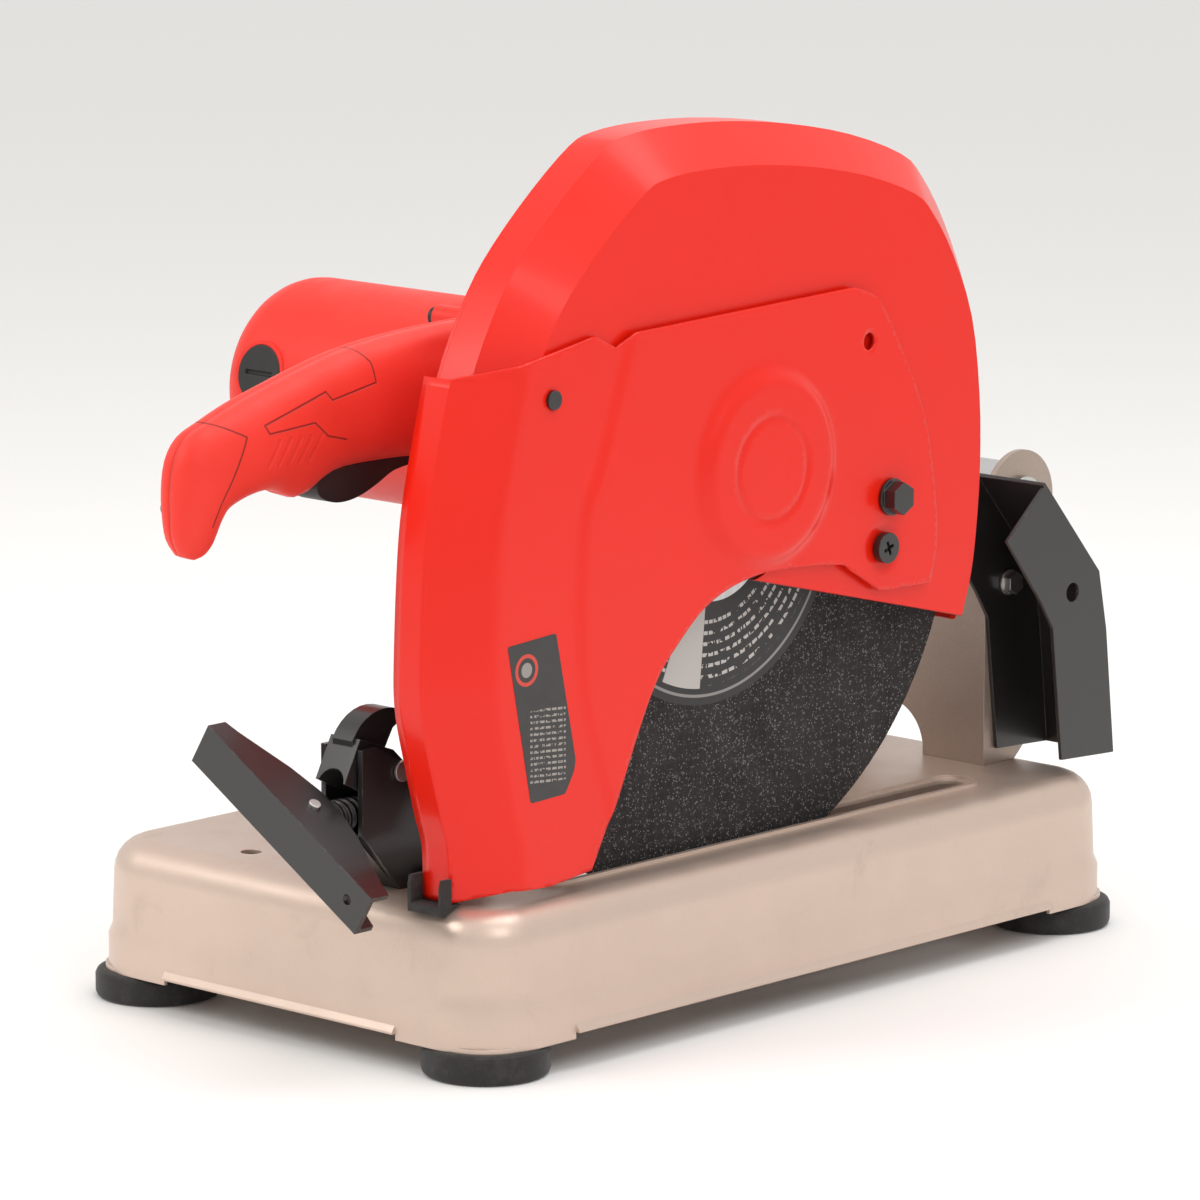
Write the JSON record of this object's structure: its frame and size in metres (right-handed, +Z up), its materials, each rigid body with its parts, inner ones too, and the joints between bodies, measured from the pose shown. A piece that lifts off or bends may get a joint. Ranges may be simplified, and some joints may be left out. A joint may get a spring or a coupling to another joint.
{
  "type": "abrasive chop saw",
  "caption": "Benchtop metal-cutting chop saw: pressed base with swivel fence and quick vise, hinged motor head with pistol handle, abrasive wheel and swing-up side guard.",
  "frame": {"origin": "centre of the whole saw in plan, on the floor under its rubber feet", "axes": "+X along the spindle towards the wheel and guard side, +Y from the operator to the rear hinge, +Z up"},
  "size_m": [0.2976, 0.5499, 0.424],
  "materials": {
    "base_steel": "satin silver enamel on pressed steel",
    "rubber_black": "matte moulded rubber",
    "zinc_steel": "bright zinc plate",
    "ground_steel": "ground steel",
    "spring_steel": "oiled spring steel",
    "black_steel": "satin black enamel",
    "screw_steel": "blackened steel",
    "cast_alloy": "die-cast alloy",
    "guard_red": "glossy red powder coat",
    "plastic_red": "satin red nylon",
    "plastic_black": "black nylon",
    "carbon": "graphite",
    "lamination": "varnished laminations",
    "copper": "copper bars",
    "gear_steel": "cut steel",
    "abrasive": "resin-bonded grit",
    "paper_label": "printed paper"
  },
  "bodies": {
    "base": {"base_pan": "base_steel", "feet": "rubber_black", "foot_screws": "zinc_steel", "pivot_bracket": "base_steel", "bracket_bolts": "zinc_steel", "pivot_axle": "ground_steel", "axle_clips": "zinc_steel", "lift_spring": "spring_steel", "depth_stop_bolt": "zinc_steel", "deflector_bolt": "zinc_steel", "vise_bracket": "black_steel", "vise_bolts": "black_steel", "pawl_pin": "zinc_steel", "fence_pivot_bolt": "zinc_steel"},
    "deflector": {"spark_deflector": "black_steel"},
    "fence": {"fence": "black_steel", "fence_lock_bolt": "zinc_steel"},
    "pawl": {"vise_pawl": "black_steel"},
    "jaw_carriage": {"jaw_yoke": "black_steel", "jaw_pin": "zinc_steel"},
    "jaw": {"vise_jaw": "black_steel"},
    "screw": {"vise_screw": "screw_steel", "crank_bar": "black_steel", "crank_pin": "zinc_steel"},
    "head": {"head_arm": "cast_alloy", "gearcase_cover": "cast_alloy", "gearcase_screws": "zinc_steel", "guard_back_plate": "guard_red", "upper_guard": "guard_red", "guard_screws": "zinc_steel", "cover_pivot_bolt": "black_steel", "motor_housing": "plastic_red", "motor_screws": "screw_steel", "brush_caps": "plastic_black", "cord_inlet": "plastic_black", "carbon_brushes": "carbon", "stator": "lamination", "armature_bearings": "ground_steel", "spindle_bearings": "ground_steel", "handle_left": "plastic_red", "handle_right": "plastic_red", "handle_screws": "screw_steel", "switch_box": "plastic_black", "trigger_pin": "zinc_steel"},
    "side_guard": {"side_cover": "guard_red", "cover_bumper": "rubber_black", "cover_rivet": "black_steel", "cover_screw": "black_steel"},
    "armature": {"armature_shaft": "ground_steel", "armature_core": "lamination", "commutator": "copper", "cooling_fan": "plastic_black"},
    "wheel": {"spindle": "ground_steel", "drive_gear": "gear_steel", "inner_flange": "ground_steel", "abrasive_wheel": "abrasive", "wheel_label": "paper_label", "outer_flange": "ground_steel", "wheel_bolt": "black_steel"},
    "trigger": {"trigger": "plastic_black"}
  },
  "joints": [
    {"name": "head_pivot", "type": "hinge", "parent": "base", "child": "head", "pos_m": [0.02425, 0.25, 0.21], "axis": [-1, 0, 0], "range_deg": [0, 50]},
    {"name": "wheel_spin", "type": "hinge", "parent": "head", "child": "wheel", "pos_m": [0.10125, 0.002, 0.233], "axis": [1, 0, 0], "continuous": true},
    {"name": "armature_spin", "type": "hinge", "parent": "head", "child": "armature", "pos_m": [0.00925, -0.0323, 0.27852], "axis": [1, 0, 0], "continuous": true},
    {"name": "side_guard_swing", "type": "hinge", "parent": "head", "child": "side_guard", "pos_m": [0.12925, 0.098, 0.236], "axis": [-1, 0, 0], "range_deg": [0, 50]},
    {"name": "trigger_squeeze", "type": "hinge", "parent": "head", "child": "trigger", "pos_m": [0.02425, -0.116, 0.285], "axis": [-1, 0, 0], "range_deg": [0, 5], "stiffness_Nm_per_rad": 1, "springref_deg": -5.73},
    {"name": "vise_slide", "type": "slide", "parent": "base", "child": "jaw_carriage", "axis": [0, 1, 0], "range_m": [-0.12, 0.006]},
    {"name": "jaw_swivel", "type": "hinge", "parent": "jaw_carriage", "child": "jaw", "pos_m": [0.05325, 0.041, 0.115], "axis": [0, 0, 1], "range_deg": [-18, 12]},
    {"name": "screw_spin", "type": "hinge", "parent": "jaw_carriage", "child": "screw", "pos_m": [0.05325, -0.065, 0.115], "axis": [0, 1, 0], "continuous": true},
    {"name": "pawl_lift", "type": "hinge", "parent": "base", "child": "pawl", "pos_m": [0.05325, -0.17, 0.134], "axis": [1, 0, 0], "range_deg": [0, 28]},
    {"name": "fence_swing", "type": "hinge", "parent": "base", "child": "fence", "pos_m": [0.07525, 0.098, 0.08], "axis": [0, 0, -1], "range_deg": [0, 40]},
    {"name": "deflector_tilt", "type": "hinge", "parent": "base", "child": "deflector", "pos_m": [0.08825, 0.238, 0.17], "axis": [1, 0, 0], "range_deg": [0, 8]}
  ],
  "couplings": [
    {"joint": "armature_spin", "follows": "wheel_spin", "ratio": -4}
  ]
}
